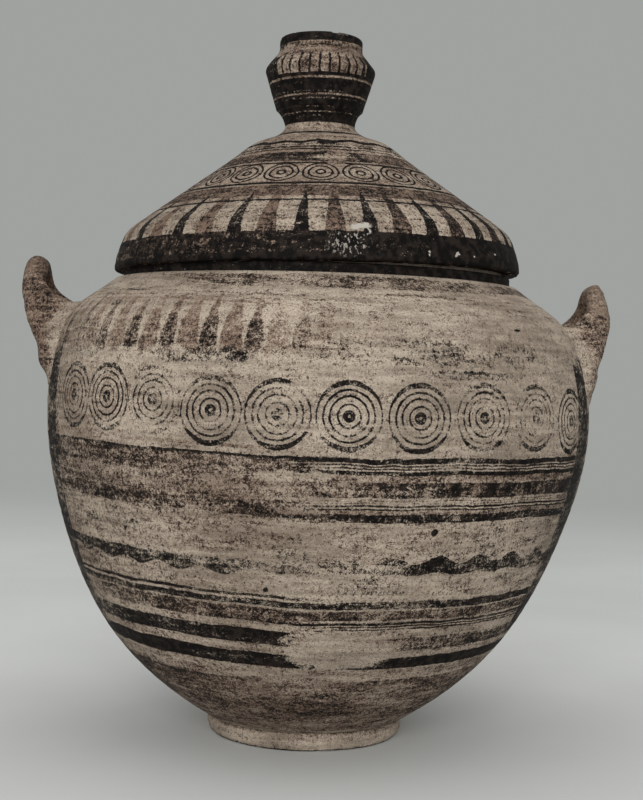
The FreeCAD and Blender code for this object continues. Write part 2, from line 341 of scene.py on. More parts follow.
def set_askew(piece):
    """Raise the right side of a piece of the lid and lower its left side."""
    places = vectors(piece.data.vertices, "co") / MM
    share = hill(places[:, 2], 312, 316, 405, 430)
    places[:, 2] += (LID_TILT * places[:, 0] + LID_LIFT) * share
    put_back(piece, places)


# %% Smooth shading
def select_only(piece):
    bpy.ops.object.select_all(action="DESELECT")
    piece.select_set(True)
    bpy.context.view_layer.objects.active = piece


def smooth_shading(piece, degrees=40):
    """Shade a piece smooth, except at edges that are sharper than so many degrees."""
    select_only(piece)
    bpy.ops.object.shade_smooth_by_angle(angle=math.radians(degrees))


# %% [markdown]
# ## The turned pieces
#
# Nine of the eleven pieces come off the wheel. Each one keeps the section of its solid. Only the
# spacing of the points, the rounded corners, the chipped edges and the marks of the hand are new.

# %% Turn all nine
TURNED = {
    # solid: (new piece, body, slot, step outside, step inside, {visible corner: rounding}, marks inside)
    "foot_ring": ("foot_ring_clay", "pot", "bare_clay", 1.2, 3.0,
                  {(65.5, 0): 1.6, (55, 0): 2.0}, None),
    "floor_disc": ("floor_clay", "pot", "bare_clay", 2.5, 2.5, {}, None),
    "lower_wall": ("lower_wall_clay", "pot", "painted_clay", 2.0, 5.0, {}, finger_ridges),
    "shoulder_wall": ("shoulder_wall_clay", "pot", "painted_clay", 1.6, 4.0,
                      {(138.6, 311): 1.4}, finger_ridges),
    "mouth_collar": ("mouth_collar_clay", "pot", "dark_slip", 1.2, 2.0,
                     {(134, 317.5): 1.2, (124, 317.5): 1.6}, None),
    "lid_rim": ("lid_rim_clay", "lid", "dark_slip", 1.0, 3.0, {(128, 317.5): 1.2}, None),
    "lid_cone": ("lid_cone_clay", "lid", "painted_clay", 1.5, 4.0, {}, finger_ridges),
    "lid_flange": ("lid_flange_clay", "lid", "bare_clay", 2.0, 3.0,
                   {(115.7, 305.5): 2.2, (122.7, 305.5): 2.2}, None),
    "knob_cup": ("knob_cup_clay", "lid", "painted_clay", 0.9, 1.5, {}, None),
}

# solid: (height of the edge, depth of its chips)
CHIPPED_EDGES = {"knob_cup": (481.5, 0.7), "lid_rim": (318.0, 1.1), "foot_ring": (0.5, 1.2)}

pieces = {}
for solid_name, (new_name, body, slot, step, inner_step, corners, marks) in TURNED.items():
    outline = rounded(refined(cut_points(solid_name), step, inner_step), corners)
    start = next((i for i, p in enumerate(outline) if p.x == 0 and outline[i - 1].x == 0), 0)
    piece = turned(new_name, outline[start:] + outline[:start])
    press(piece, marks, CHIPPED_EDGES.get(solid_name))
    if solid_name in ("lid_rim", "lid_cone", "knob_cup"):
        set_askew(piece)
    smooth_shading(piece)
    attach(piece, body)
    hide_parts(solid_name)
    pieces[solid_name] = piece

# %% [markdown]
# ## The rolled handles
#
# Each handle is a thick roll of clay, bent to a loop and pressed on. The loop's course is the solid's,
# so a copy of the solid is the start. Remesh gives it an even skin of small faces, which Smooth then
# softens. Where the roll meets the wall, the potter smears clay outwards with a thumb. The same is done
# to the vertices near the wall: they are pushed along it, the more the nearer they are. The outer side
# of each loop then swells where the root is thick, and the legs bend back a little round the pot.

# %% The wall's radius and slope at a height
wall_line = [p for name in ("lower_wall", "shoulder_wall") for p in refined(cut_points(name), 2.0, 5.0)]
WALL_LOW, WALL_HIGH, LAYER = 20, 310, 2.5
wall_line = sorted((p for p in wall_line if WALL_LOW < p.y < WALL_HIGH), key=lambda p: p.y)
outermost = []
for layer_low in np.arange(WALL_LOW, WALL_HIGH, LAYER):
    near = [p for p in wall_line if layer_low <= p.y < layer_low + LAYER]
    if near:
        outermost.append(max(near, key=lambda p: p.x))


def wall_radius(height):
    return np.interp(height, [p.y for p in outermost], [p.x for p in outermost])


def wall_tilt(height):
    """The angle by which the wall's normal points up."""
    return np.arctan2(wall_radius(height - 2) - wall_radius(height + 2), 4.0)


print("radius at the belly and at the brow", [round(float(wall_radius(height)), 1) for height in (228, 305)])

# %% Roll and smear both handles
SMEAR = 8.5  # the smear reaches this far from the wall, in mm
SINK = 1.4
SKIN = 1.3
# how much farther out than the solid the loop's outer side is, in mm, at these heights
LOOP_HEIGHTS = (232, 240, 252, 264, 275, 287, 297, 304, 312)
FARTHER_OUT = {"handle_left": (0, 0.4, 4.0, 5.6, 5.6, 1.8, -1.2, -1.4, -0.8),
               "handle_right": (0, -0.8, 2.6, 2.2, 0.6, 0, -2.2, -3.2, -3.2)}
# how much the near leg and the far leg bend back round the pot, per mm from the middle of the loop
BOW = {"handle_left": (0.185, 0.07), "handle_right": (0.185, 0.185)}


def rolled_handle(solid_name, new_name):
    """A handle from a merged copy of its solid, with its roots smeared out along the wall."""
    piece = bpy.data.objects.new(new_name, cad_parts[solid_name].data.copy())
    piece.data.name = new_name
    bpy.context.scene.collection.objects.link(piece)
    select_only(piece)
    bpy.ops.object.mode_set(mode="EDIT")
    bpy.ops.mesh.select_all(action="SELECT")
    bpy.ops.mesh.remove_doubles(threshold=1e-5)
    bpy.ops.object.mode_set(mode="OBJECT")
    for kind, values in (
        ("REMESH", {"mode": "VOXEL", "voxel_size": SKIN * MM}),
        ("SMOOTH", {"factor": 0.5, "iterations": 4}),
    ):
        modifier = piece.modifiers.new(kind.lower(), kind)
        for key, value in values.items():
            setattr(modifier, key, value)
        bpy.ops.object.modifier_apply(modifier=modifier.name)
    places = vectors(piece.data.vertices, "co") / MM
    normals = vectors(piece.data.vertices, "normal")
    radius = np.hypot(places[:, 0], places[:, 1])
    tilt = wall_tilt(places[:, 2])
    level = np.cos(tilt) / radius
    away = np.stack([level * places[:, 0], level * places[:, 1], np.sin(tilt)], 1)
    clear = (radius - wall_radius(places[:, 2])) * np.cos(tilt)
    lumps = np.array([noise.noise(Vector(p) / 17) + 0.5 * noise.noise(Vector(p) / 6) for p in places])
    places += normals * (np.minimum(lumps, 0.2) - 0.2)[:, None] * 0.7 * np.clip(clear / 10, 0, 1)[:, None]
    along = normals - away * np.sum(normals * away, 1)[:, None]
    length = np.linalg.norm(along, axis=1)
    along /= np.maximum(length, 1e-6)[:, None]
    near = np.clip(clear, 0, SMEAR)
    reach = SMEAR - np.sqrt(SMEAR ** 2 - (SMEAR - near) ** 2)
    places += along * (reach * np.clip(length * 1.6, 0, 1))[:, None]
    places -= away * (SINK * (1 - near / SMEAR) ** 3)[:, None]
    outer_side = np.clip(np.sum(normals * away, 1) * 1.5, 0, 1) * ramp_up(clear, 0.3, 5)
    places += away * (np.interp(places[:, 2], LOOP_HEIGHTS, FARTHER_OUT[solid_name]) * outer_side)[:, None]
    free = ramp_up(clear, 2, 15)
    bow = np.where(places[:, 1] < 0, *BOW[solid_name])
    places[:, 0] -= np.sign(places[:, 0]) * bow * np.abs(places[:, 1]) * free
    places = out_of_true(places)
    put_back(piece, places)
    from_wall = piece.data.attributes.new("from_wall", "FLOAT", "POINT")
    from_wall.data.foreach_set("value", np.clip(clear, 0, 60))
    return piece


for solid_name in ("handle_left", "handle_right"):
    piece = rolled_handle(solid_name, "rolled_" + solid_name)
    smooth_shading(piece, 60)
    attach(piece, "pot")
    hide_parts(solid_name)
    pieces[solid_name] = piece
    print(piece.name, len(piece.data.vertices), "vertices")

# %% [markdown]
# ## Painting with node arithmetic
#
# The real jar was painted freehand with a brush, while it turned. A picture of the painting could be laid
# over it, but here each motif is worked out from two numbers instead: the angle round the jar and the
# height above the table. So the painting is sharp at any distance, and has no seam. Such sums need many
# Math nodes. The small helper below lets them be written as plain Python sums.


# %% Sums on node outputs
def plug(value, socket):
    """Give a socket a number or a colour, or wire an output to it."""
    if isinstance(value, Wire):
        socket.id_data.links.new(value.socket, socket)
    else:
        socket.default_value = value


def fill(sockets, **values):
    """Plug values into the sockets of these names, where _ stands for a space."""
    for name, value in values.items():
        plug(value, sockets[name.replace("_", " ")])


def new_node(kind, inputs, **settings):
    """The outputs of a new node, put where its first input is, which has to be a wire."""
    tree = next(iter(inputs.values())).socket.id_data
    node = tree.nodes.new("ShaderNode" + kind)
    for name, setting in settings.items():
        setattr(node, name, setting)
    for name, value in inputs.items():
        plug(value, node.inputs[name])
    return [Wire(socket) for socket in node.outputs]


class Wire:
    """The output of a node, which can be added, multiplied and so on. Angles are in degrees."""

    def __init__(self, socket):
        self.socket = socket

    def maths(self, operation, *others):
        return new_node("Math", dict(enumerate((self, *others))), operation=operation)[0]

    def sine(self):
        return self.maths("RADIANS").maths("SINE")

    def cosine(self):
        return self.maths("RADIANS").maths("COSINE")

    def from_nearest(self, pitch, start):
        """Signed distance from the nearest of the places start, start + pitch and so on."""
        turns = (self - start) / pitch + 0.5
        return (turns - turns.maths("FLOOR") - 0.5) * pitch

    def fade(self, zero, one):
        """0 on the side of zero, 1 on the side of one, and a smooth rise between them."""
        inputs = {"Value": self, "From Min": zero, "From Max": one}
        return new_node("MapRange", inputs, interpolation_type="SMOOTHSTEP")[0]

    def within(self, half_width, soft):
        """1 where this wire is nearer to 0 than half_width, with soft edges."""
        return self.away().fade(half_width + soft, half_width - soft)

    def between(self, low, high, soft=0.2):
        """1 from low to high, with soft edges."""
        return self.fade(low - soft, low + soft) * self.fade(high + soft, high - soft)

    def blend(self, at_zero, at_one):
        """at_zero where this wire is 0, at_one where it is 1."""
        return new_node("Mix", {"Factor": self, "A": at_zero, "B": at_one})[0]

    def cover(self, below, above):
        """One colour with another over it, where this wire is the mask."""
        return new_node("Mix", {0: self, 6: below, 7: above}, data_type="RGBA")[2]

    def grain(self, scale, detail=2.0, squeeze=(1, 1, 1)):
        """Noise from about 0.2 to 0.8 at this position, which is first squeezed along its axes."""
        place = new_node("VectorMath", {0: self, 1: squeeze}, operation="MULTIPLY")[0]
        return new_node("TexNoise", {"Vector": place, "Scale": scale, "Detail": detail})[0]


# sums, and these three, are one Math node each
for method, operation in {
    "__add__": "ADD", "__sub__": "SUBTRACT", "__mul__": "MULTIPLY", "__truediv__": "DIVIDE",
    "away": "ABSOLUTE", "less_of": "MINIMUM", "more_of": "MAXIMUM",
}.items():
    setattr(Wire, method, functools.partialmethod(Wire.maths, operation))

# %% A node group with named sockets
KINDS = {float: "NodeSocketFloat", tuple: "NodeSocketColor", type(None): "NodeSocketVector"}


def new_group(name, inputs, outputs):
    """The wires and sockets of an empty group. Each input is a number, a colour or, for a vector, None."""
    tree = bpy.data.node_groups.new(name, "ShaderNodeTree")
    for title, value in inputs.items():
        socket = tree.interface.new_socket(title, in_out="INPUT", socket_type=KINDS[type(value)])
        if value is not None:
            socket.default_value = value
    for title in outputs:
        kind = "Color" if title == "Color" else "Float"
        tree.interface.new_socket(title, in_out="OUTPUT", socket_type="NodeSocket" + kind)
    given = tree.nodes.new("NodeGroupInput").outputs
    return [Wire(given[title]) for title in inputs], tree.nodes.new("NodeGroupOutput").inputs


def use_group(name, **values):
    """Place a group, fill its inputs and return its outputs by name."""
    inputs = {title.replace("_", " "): value for title, value in values.items()}
    outputs = new_node("Group", inputs, node_tree=bpy.data.node_groups[name])
    return {wire.socket.name: wire for wire in outputs}


def put_out(result, **values):
    """Wire the outputs of a group, and say how large it has become."""
    fill(result, **values)
    tree = result[0].id_data
    print("group", tree.name, "has", len(tree.nodes), "nodes")


# %% Where on the jar: degrees from the front, and height and radius in millimetres
(position,), result = new_group("place on the jar", {"Position": None}, ["Angle", "Height", "Radius"])
east, north, up = new_node("SeparateXYZ", {0: position})
around = east.maths("ARCTAN2", north * -1).maths("DEGREES")
from_axis = (east * east + north * north).maths("SQRT")
put_out(result, Angle=around, Height=up / MM, Radius=from_axis / MM)


def new_painting(name, *more_masks):
    """The sockets of a group for the slip on a piece, with the position and its angle, height and radius."""
    (position,), result = new_group(name, {"Position": None}, ["Dark", "Thin", *more_masks])
    return result, position, *use_group("place on the jar", Position=position).values()


# %% [markdown]
# ## Clay and worn slip
#
# Fired clay isn't one colour: the flame, the damp of the tomb and handling leave soft clouds, brush
# streaks and specks. Slip is clay too, brushed on thinly, and after so many years it is flaked away in
# tiny grains. Both effects are on every piece, so each is a node group. Worn slip takes how much of the
# slips is left, from 0 to 1, and gives masks that are broken up by grain of several sizes.

# %% The clay's clouds and specks
BRUSHED = (1, 1, 9)  # squeezes noise to streaks that run round the jar
LIGHT_FLECK = (0.62, 0.55, 0.46, 1)

(position, clean, dull, dirt), result = new_group(
    "fired clay",
    {"Position": None, "Pale": LIGHT_FLECK, "Dull": LIGHT_FLECK, "Dirt": LIGHT_FLECK},
    ["Color", "Roughness", "Relief"])
clouds = position.grain(14, 3)
streaks = position.grain(30, 3, BRUSHED)
mottle = position.grain(240, 2)
sand = position.grain(900, 1)
pale = (clouds * 0.28 + streaks * 0.34 + mottle * 0.22 + sand * 0.16).fade(0.40, 0.60)
specks = (sand * 0.7 + mottle * 0.3).fade(0.52, 0.66) * 0.70
flecks = (position.grain(1050, 1) * 0.75 + clouds * 0.25).fade(0.60, 0.68) * 0.6
colour = flecks.cover(specks.cover(pale.cover(dull, clean), dirt), LIGHT_FLECK)
relief = sand * 0.35 + mottle * 0.45 + streaks * 0.9
put_out(result, Color=colour, Roughness=pale * 0.08 + 0.80, Relief=relief)

# %% The masks of worn slip
DARK_SOFT, THIN_SOFT = 0.33, 0.42
(position, dark, thin), result = new_group(
    "worn slip", {"Position": None, "Dark": 0.5, "Thin": 0.5}, ["Dark mask", "Thin mask"])
fine, middle = position.grain(1250, 1), position.grain(480, 2)
smudge, streak = position.grain(120, 3, (1, 1, 1.6)), position.grain(42, 3, BRUSHED)
breaks = ((fine * 0.32 + middle * 0.28 + smudge * 0.20 + streak * 0.20) - 0.5) * 5.0 + 0.5
dark_mask = breaks.fade(dark + DARK_SOFT, dark - DARK_SOFT)
thin_mask = breaks.fade(thin + THIN_SOFT, thin - THIN_SOFT)
put_out(result, Dark_mask=dark_mask, Thin_mask=thin_mask)

# %% [markdown]
# ## Bands, row by row
#
# Bands were painted by holding a loaded brush against the turning jar, so on the jar a band is just a
# range of heights. The rows below were read off the jar. Each one says from where to where, how
# much dark slip is left there, and how much of the thinner red-brown slip. A Color Ramp with hard steps
# holds them, dark in its red channel and thin in its green one. A ramp has 32 stops at most and is
# coarse over a long range, so each holds RAMP_SPAN, and their results are added.

# %% The rows of the body
# (from, to, dark slip left, thin slip left), in mm above the table
ROWS_BELOW = [(16, 24, 0.30, 0.62), (24, 31, 0.36, 0.72), (31, 60, 0.44, 0.80)]
ROWS_LEFT = [
    *ROWS_BELOW, (60, 71.5, 0.20, 0.48), (71.5, 81, 1.15, 0.3), (87, 96.5, 0.80, 0.5),
    (101.5, 110.8, 0.50, 0.80), (112.3, 116, 0.80, 0.3), (117.7, 119.5, 0.80, 0.2),
    (146, 168, 0.20, 0.42), (168, 176, 0.52, 0.75), (176, 183, 0.42, 0.70), (183, 190, 0.32, 0.62),
    (190, 202, 0.48, 0.72), (202, 203.7, 0.80, 0.3), (207, 209, 0.16, 0.5), (291.6, 292.4, 0.1, 0.6),
    (294, 294.9, 0.25, 0.5), (296.6, 297.6, 0.3, 0.5),
]
ROWS_RIGHT = [
    *ROWS_BELOW, (60, 68.5, 0.18, 0.44), (68.5, 76, 1.15, 0.3), (80.5, 89.5, 0.62, 0.7),
    (95.6, 96.6, 0.75, 0.2), (97.4, 98.3, 0.75, 0.2), (99.2, 100.8, 0.85, 0.3), (102.2, 108.5, 0.56, 0.80),
    (109.5, 114.3, 0.92, 0.6), (148.2, 148.9, 0.22, 0.4), (152.2, 152.8, 0.2, 0.4), (156.1, 156.9, 0.22, 0.4),
    (160.1, 160.9, 0.25, 0.4), (163.3, 168.3, 0.80, 0.7), (168.3, 170.6, 0.25, 0.6),
    (170.6, 171.6, 0.80, 0.2), (172.4, 173.6, 0.85, 0.2), (174.5, 175.1, 0.4, 0.5), (176, 176.6, 0.4, 0.5),
    (178, 187, 0.60, 0.85), (187, 191.5, 0.28, 0.60), (191.5, 193.9, 0.86, 0.2), (195, 195.9, 0.7, 0.2),
    (196.9, 197.8, 0.7, 0.2), (198.5, 201.5, 0.90, 0.2), (291.6, 292.4, 0.1, 0.4),
    (294, 294.9, 0.15, 0.4), (296.6, 297.6, 0.2, 0.5),
]
print(len(ROWS_LEFT), "rows on the left,", len(ROWS_RIGHT), "on the right")

# %% Coverage by height, from Color Ramps
RAMP_SPAN = 60.0


def hard_ramp(share, steps, last=(0, 0, 0)):
    """Three values that jump at each step, {share: (values)}, and to the last ones where the share is 1."""
    colour = new_node("ValToRGB", {0: share})[0]
    ramp = colour.socket.node.color_ramp
    ramp.interpolation = "CONSTANT"
    ramp.elements[0].color = (0, 0, 0, 1)
    ramp.elements[1].color = (*last, 1)
    for start, three in steps.items():
        if start == 0:
            ramp.elements[0].color = (*three, 1)
        elif start < 1:
            ramp.elements.new(start).color = (*three, 1)
    return new_node("SeparateColor", {0: colour})


def ramp_stretch(height, rows, start):
    """The two coverages of the rows between start and start + RAMP_SPAN."""
    stop = start + RAMP_SPAN
    steps = {}
    for low, high, dark, thin in sorted(rows):
        if low < stop and high > start:
            steps[(max(low, start) - start) / RAMP_SPAN] = (dark, thin, 0)
            steps[(min(high, stop) - start) / RAMP_SPAN] = (0, 0, 0)
    inside = height.fade(start - 0.001, start + 0.001)
    return [coverage * inside for coverage in hard_ramp((height - start) / RAMP_SPAN, steps)[:2]]


def painted_rows(height, rows):
    """The coverages of all the rows, from as many ramps as they need."""
    low, high = rows[0][0], rows[-1][1]
    dark, thin = ramp_stretch(height, rows, low)
    for i in range(1, math.ceil((high - low) / RAMP_SPAN)):
        more_dark, more_thin = ramp_stretch(height, rows, low + i * RAMP_SPAN)
        dark, thin = dark + more_dark, thin + more_thin
    return dark, thin


def patch(angle, height, middle, half_size):
    """1 in an oval blot, given its middle and half size as (degrees, mm)."""
    across = (angle - middle[0]) / half_size[0]
    up = (height - middle[1]) / half_size[1]
    return (across * across + up * up).fade(1.5, 0.4)


# %% [markdown]
# ## Circles from a compass
#
# The circles were drawn with a brush on a compass, whose point left a dot in the middle. There are 28 of
# them round the belly. The painter's spacing drifted, so the jar's circles aren't quite evenly placed:
# the angle less this drift gives a circle's number, and the number's even angle and its drift give the
# angle of the circle's middle. A ring is then a range of distances from that middle.

# %% Circles round the belly
CIRCLE_PITCH = 360 / 28
CIRCLE_HEIGHT = 227
CIRCLE_TILT = 3.5  # the row is this much lower at the right and higher at the left
BELLY_RADIUS = 187.0
CIRCLE_RINGS = [(2.3, 2.8), (6.8, 1.3), (11.3, 1.3), (15.0, 1.4)]
OUTER_RING = 19.2
FIRST_CIRCLE = -5
# for the first circle on the left and so on: how much is left of the inner rings and of the outer one
CIRCLE_WEAR = [(0.80, 0.84), (0.82, 0.74), (0.64, 0.34), (0.78, 0.76), (0.82, 0.84), (0.80, 0.70),
               (0.84, 0.82), (0.74, 0.66), (0.54, 0.56), (0.76, 0.74)]
COMMON_WEAR = (0.66, 0.6)
# how far the middle of each of them is above the even row, in mm, and the range that the ramp holds
CIRCLE_RISE = [2.2, 2.6, 2.7, -1.6, -1.9, -1.1, -0.8, 0.9, 1.5, -0.5]
RISE_RANGE = 10


def drift(angle):
    """How many degrees ahead of the even spacing the painter was: little in front, most at the back."""
    return (angle.cosine() * -1 + 1) * 5.36 - angle.sine() * 0.655 + 0.366


def ring_set(across, up, sizes):
    """The distance from the middle, and 1 on each ring of (radius, width)."""
    distance = (across * across + up * up).maths("SQRT")
    rings = [(distance - radius).within(width / 2, 0.3) for radius, width in sizes]
    return distance, functools.reduce(Wire.more_of, rings)


(angle, height), result = new_group(
    "circles round the belly", {"Angle": 0.0, "Height": 0.0}, ["Left over"])
number = ((angle - drift(angle)) / CIRCLE_PITCH).maths("FLOOR")
even_angle = (number + 0.5) * CIRCLE_PITCH
middle = even_angle + drift(even_angle)
common = (*COMMON_WEAR, 0.5)
values = [common, *((*wear, 0.5 + rise / RISE_RANGE) for wear, rise in zip(CIRCLE_WEAR, CIRCLE_RISE)), common]
steps = {i / len(values): three for i, three in enumerate(values)}
inner_left, outer_left, rise = hard_ramp((number - FIRST_CIRCLE + 1.5) / len(values), steps, common)
across = (angle - middle) * math.radians(BELLY_RADIUS)
up = height - CIRCLE_HEIGHT + middle.sine() * CIRCLE_TILT - (rise - 0.5) * RISE_RANGE
distance, inner = ring_set(across, up, CIRCLE_RINGS)
steep = (up / distance).maths("POWER", 2.0)
outer = (distance - OUTER_RING).within(steep * 1.15 + 0.5, 0.3)
put_out(result, Left_over=(inner * inner_left).more_of(outer * outer_left))

# %% [markdown]
# ## Tongues on the shoulder, and the wavy line
#
# Narrow dark and thin-slip tongues hang from the lines under the mouth, 40 of each. On the left they are
# well kept, and on the right only traces are left. Far below runs a broad wavy line, which the painter
# made by moving the brush up and down while the jar turned.

# %% Tongues
TONGUE_PITCH = 9
DARK_TONGUE, THIN_TONGUE = -29, -24.5  # the angle of one of each

(angle, height, rough), result = new_group(
    "shoulder tongues", {"Angle": 0.0, "Height": 0.0, "Rough": 0.0}, ["Dark", "Thin"])
half_width = height.fade(298, 264) * 1.5 + 0.45 + rough * 1.4
reach = height.fade(299, 293) * (height + rough * 16).fade(256, 265)
kept = (angle.fade(20, -20) + angle.fade(75, 100)).less_of(1) * 0.76 + 0.24
dark = angle.from_nearest(TONGUE_PITCH, DARK_TONGUE).within(half_width, 0.35)
thin = angle.from_nearest(TONGUE_PITCH, THIN_TONGUE).within(half_width + 0.45, 0.3)
lower = height.fade(296, 272)
dark_left = (dark * (lower * 0.34 + 0.18)).more_of(thin * lower * 0.28)
thin_left = (thin * (lower * 0.26 + 0.50)).more_of(dark * 0.72)
put_out(result, Dark=dark_left * reach * kept * kept, Thin=thin_left * reach * kept)

# %% The wavy line
WAVES = 36

(angle, height), result = new_group("wavy line", {"Angle": 0.0, "Height": 0.0}, ["Left over"])
right = angle.sine().fade(-0.1, 0.2)
middle = right.blend(angle.sine() * angle.sine() * 5.5 + 134.7, 135.6)
wave = ((angle - 27.5) * WAVES).cosine() * 2.4
top = middle + right.blend(4.2, 4.4) + wave * right.blend(0.15, 1.0)
bottom = middle - right.blend(4.0, 4.3) + wave * right.blend(0.8, 0.35)
worn = right.blend(angle.fade(-4, -32), angle.fade(14, 26)) * 0.44 + 0.36
line = height.fade(bottom - 0.5, bottom + 0.5) * height.fade(top + 0.5, top - 0.5)
put_out(result, Left_over=line * worn)

# %% [markdown]
# ## The whole painted wall
#
# Here the motifs come together: rows that differ a little from left to right, because the painter and
# the wear did, then circles, tongues, wavy line, a worn band under the mouth, blots, and an upright panel
# under each handle. The height is first roughened by noise, so no edge is ruled. The group gives how much
# dark and how much thin slip is left.

# %% Blots and worn patches
# (degrees, mm), (half width in degrees, half height in mm), dark slip left
BLOTS = [
    ((-15, 257), (3.4, 8.0), 0.50), ((-24, 259), (8, 6), 0.38), ((-52, 268), (8.0, 13), 0.40),
    ((31, 250.5), (10.0, 3.0), 0.42), ((22, 263), (34, 9.0), 0.26), ((25, 157), (0.75, 2.3), 1.3),
    ((-8.5, 121), (0.6, 1.6), 1.2), ((-38, 157), (2.5, 2.0), 0.6), ((-51, 156), (3.0, 2.0), 0.6),
    ((-45, 173), (6.0, 3.0), 0.7), ((45.2, 279), (1.1, 0.8), 1.2), ((-3, 140), (4, 8), 0.40),
    ((14, 122), (9, 8), 0.34), ((-55, 92), (22, 5), 0.5),
]
# (degrees, mm), (half width, half height), share of the slip that is gone
BARE_PATCHES = [((9, 80), (13, 12), 0.85), ((-2.5, 239), (3.0, 5), 0.6), ((-3, 190), (7, 3), 0.7),
                ((8, 218), (60, 3), 0.3)]

# %% The bands and motifs of the wall
BAND_LOW, BAND_HIGH = 178, 187  # the broad band on the right, which shows the strokes of its brush
THIN_LEFT, DARK_LEFT = 0.14, 0.06  # what is left of the slips where nothing was painted

result, position, angle, true_height, _ = new_painting("painted wall")
rough = position.grain(120, 3) - 0.5
height = true_height + (position.grain(22, 2) - 0.5) * 3.0 + rough * 2.2
turn = angle.sine()
tilted = height + 2.5 + turn.less_of(0) * 5
side = turn.fade(-0.2, 0.25)
left_dark, left_thin = painted_rows(tilted, ROWS_LEFT)
right_dark, right_thin = painted_rows(height, ROWS_RIGHT)
dark, thin = side.blend(left_dark, right_dark), side.blend(left_thin, right_thin)
ragged = angle + rough * 9
right_end = (ragged - (height - 69).less_of(8) * 2).fade(3, 10)
left_end = (ragged + height.fade(76, 70) * -4).fade(0, -7)
start_of_band = (height.fade(92, 96) + right_end + left_end).less_of(1)
dark = dark * start_of_band
brushed = position.grain(170, 2, (1, 1, 0.12)).fade(0.35, 0.62)
dark = dark * (height.between(BAND_LOW, BAND_HIGH, 0.5) * side * (brushed * 0.6 - 0.25) + 1)

tongues = use_group("shoulder tongues", Angle=angle, Height=true_height, Rough=rough)
circles = use_group("circles round the belly", Angle=angle + rough * 0.35, Height=true_height + rough * 1.2)
wavy = use_group("wavy line", Angle=angle, Height=height)
dark = dark.more_of(tongues["Dark"]).more_of(circles["Left over"]).more_of(wavy["Left over"])
soiled_left = turn.fade(-0.3, -0.85) * height.fade(262, 250) * 0.5
soiled = (height.fade(207, 200) * 0.15 + THIN_LEFT).more_of(soiled_left)
thin = thin.more_of(tongues["Thin"]).more_of(soiled)
# painted shade: below the belly the wall darkens towards its left and right sides
painted_side_shade = turn.away().fade(0.35, 0.95) * height.fade(206, 196) * 0.12
dark = dark.more_of(height.fade(206, 200) * 0.08 + DARK_LEFT) + painted_side_shade

# the worn band under the mouth runs up under the lid on the left
brow = (angle * -1).fade(12, 50) * 9 + angle.fade(20, 60) * 3 + 300.5
under_mouth = height.fade(brow - 0.8, brow + 0.8) * height.fade(309.5, 308.5)
dark, thin = dark.more_of(under_mouth * 0.46), thin.more_of(under_mouth * 0.62)
for middle, half_size, left_over in BLOTS:
    dark = dark.more_of(patch(angle, height, middle, half_size) * left_over)
for middle, half_size, gone in BARE_PATCHES:
    bare = patch(angle + rough * 8, height + rough * 8, middle, half_size) * -gone + 1
    dark, thin = dark * bare, thin * bare

# %% The panel under each handle: a dark band, a cable with pale eyes, and a snake
HANDLE_ANGLE = 90
PANEL_EDGE = 25.4  # half its width, in degrees
BAND_EDGE, CABLE_EDGE, EYES = 16.8, 7.9, 12.4
EYE_PITCH = 11

from_middle = angle.away() - HANDLE_ANGLE
beside = from_middle.away() + rough * 0.8
zone = beside.within(PANEL_EDGE, 0.4) * height.fade(80.5, 81.5) * (height + rough * 14).fade(268, 255)
band = beside.between(BAND_EDGE, PANEL_EDGE, 0.4) * 0.86
across = (beside - EYES) / 3.4
along = (height + beside * 1.5).from_nearest(EYE_PITCH, 0) / 3.8
eyes = (across * across + along * along).fade(1.2, 0.7)
cable = beside.between(CABLE_EDGE, BAND_EDGE + 0.1) * (eyes * -0.95 + 1) * 0.86
snake = (from_middle + (height * 7).sine() * 3.6).within(1.55, 0.25) * height.between(100, 214, 2) * 0.8
dark = zone.blend(dark, band.more_of(cable).more_of(snake))
thin = zone.blend(thin, 0.26)

keep = position.grain(17, 4, (1, 1, 2.5)) * 1.9 + 0.06
put_out(result, Dark=dark * keep, Thin=thin * keep)

# %% [markdown]
# ## The painted lid
#
# Seen from above the lid is a wheel of rays: dark tongues point up from a dark rim, thin-slip tongues
# stand between them, and pale panels are left over. Above are bands, 21 small compass circles and a wavy
# line. The skirt and the cone are two pieces of clay, but were painted as one surface, so they share a
# material. The bands were painted on the true lid, so they are askew with it.

# %% Rows of the lid and of the knob
ROWS_LID = [
    (359.5, 367.5, 0.50, 1.1), (368.6, 370.1, 1.3, 0.2), (384.4, 385.7, 0.95, 0.4),
    (386.5, 394, 0.74, 1.0), (395.9, 397.0, 0.75, 0.6), (397.8, 398.9, 0.75, 0.6), (399.6, 400.6, 0.6, 0.5),
    (411.4, 413.1, 1.3, 0.3),
]
ROWS_KNOB = [
    (415, 427.2, 1.15, 0.5), (427.2, 428.1, 0.55, 0.6), (428.1, 430.6, 1.2, 0.5), (430.6, 431.4, 0.75, 0.6),
    (431.4, 435.4, 1.25, 0.5), (435.4, 436.4, 0.80, 0.6), (436.4, 438.0, 1.2, 0.5), (439.2, 440.3, 1.1, 0.5),
    (440.3, 441.2, 0.80, 0.6), (441.2, 448.9, 1.2, 0.5), (450.2, 452.6, 1.2, 0.4), (472, 475, 0.5, 0.8),
    (475.6, 484, 1.2, 0.4),
]
RAY_PITCH = 360 / 20
BLACK_RAY, THIN_RAY = -4, 4.8  # the angle of one of each
LID_CIRCLE_PITCH = 360 / 21
LID_CIRCLE_HEIGHT = 378.0
LID_CIRCLE_RADIUS = 85.5
LID_SLOPE = 0.585  # height gained per mm along the cone
LID_RINGS = [(2.7, 1.9), (7.6, 1.6), (11.3, 1.5)]
WAVY_HEIGHT = 403


def set_level(angle, height, radius):
    """The height above the table, as it was before the lid sat askew."""
    return height - radius * angle.sine() * LID_TILT


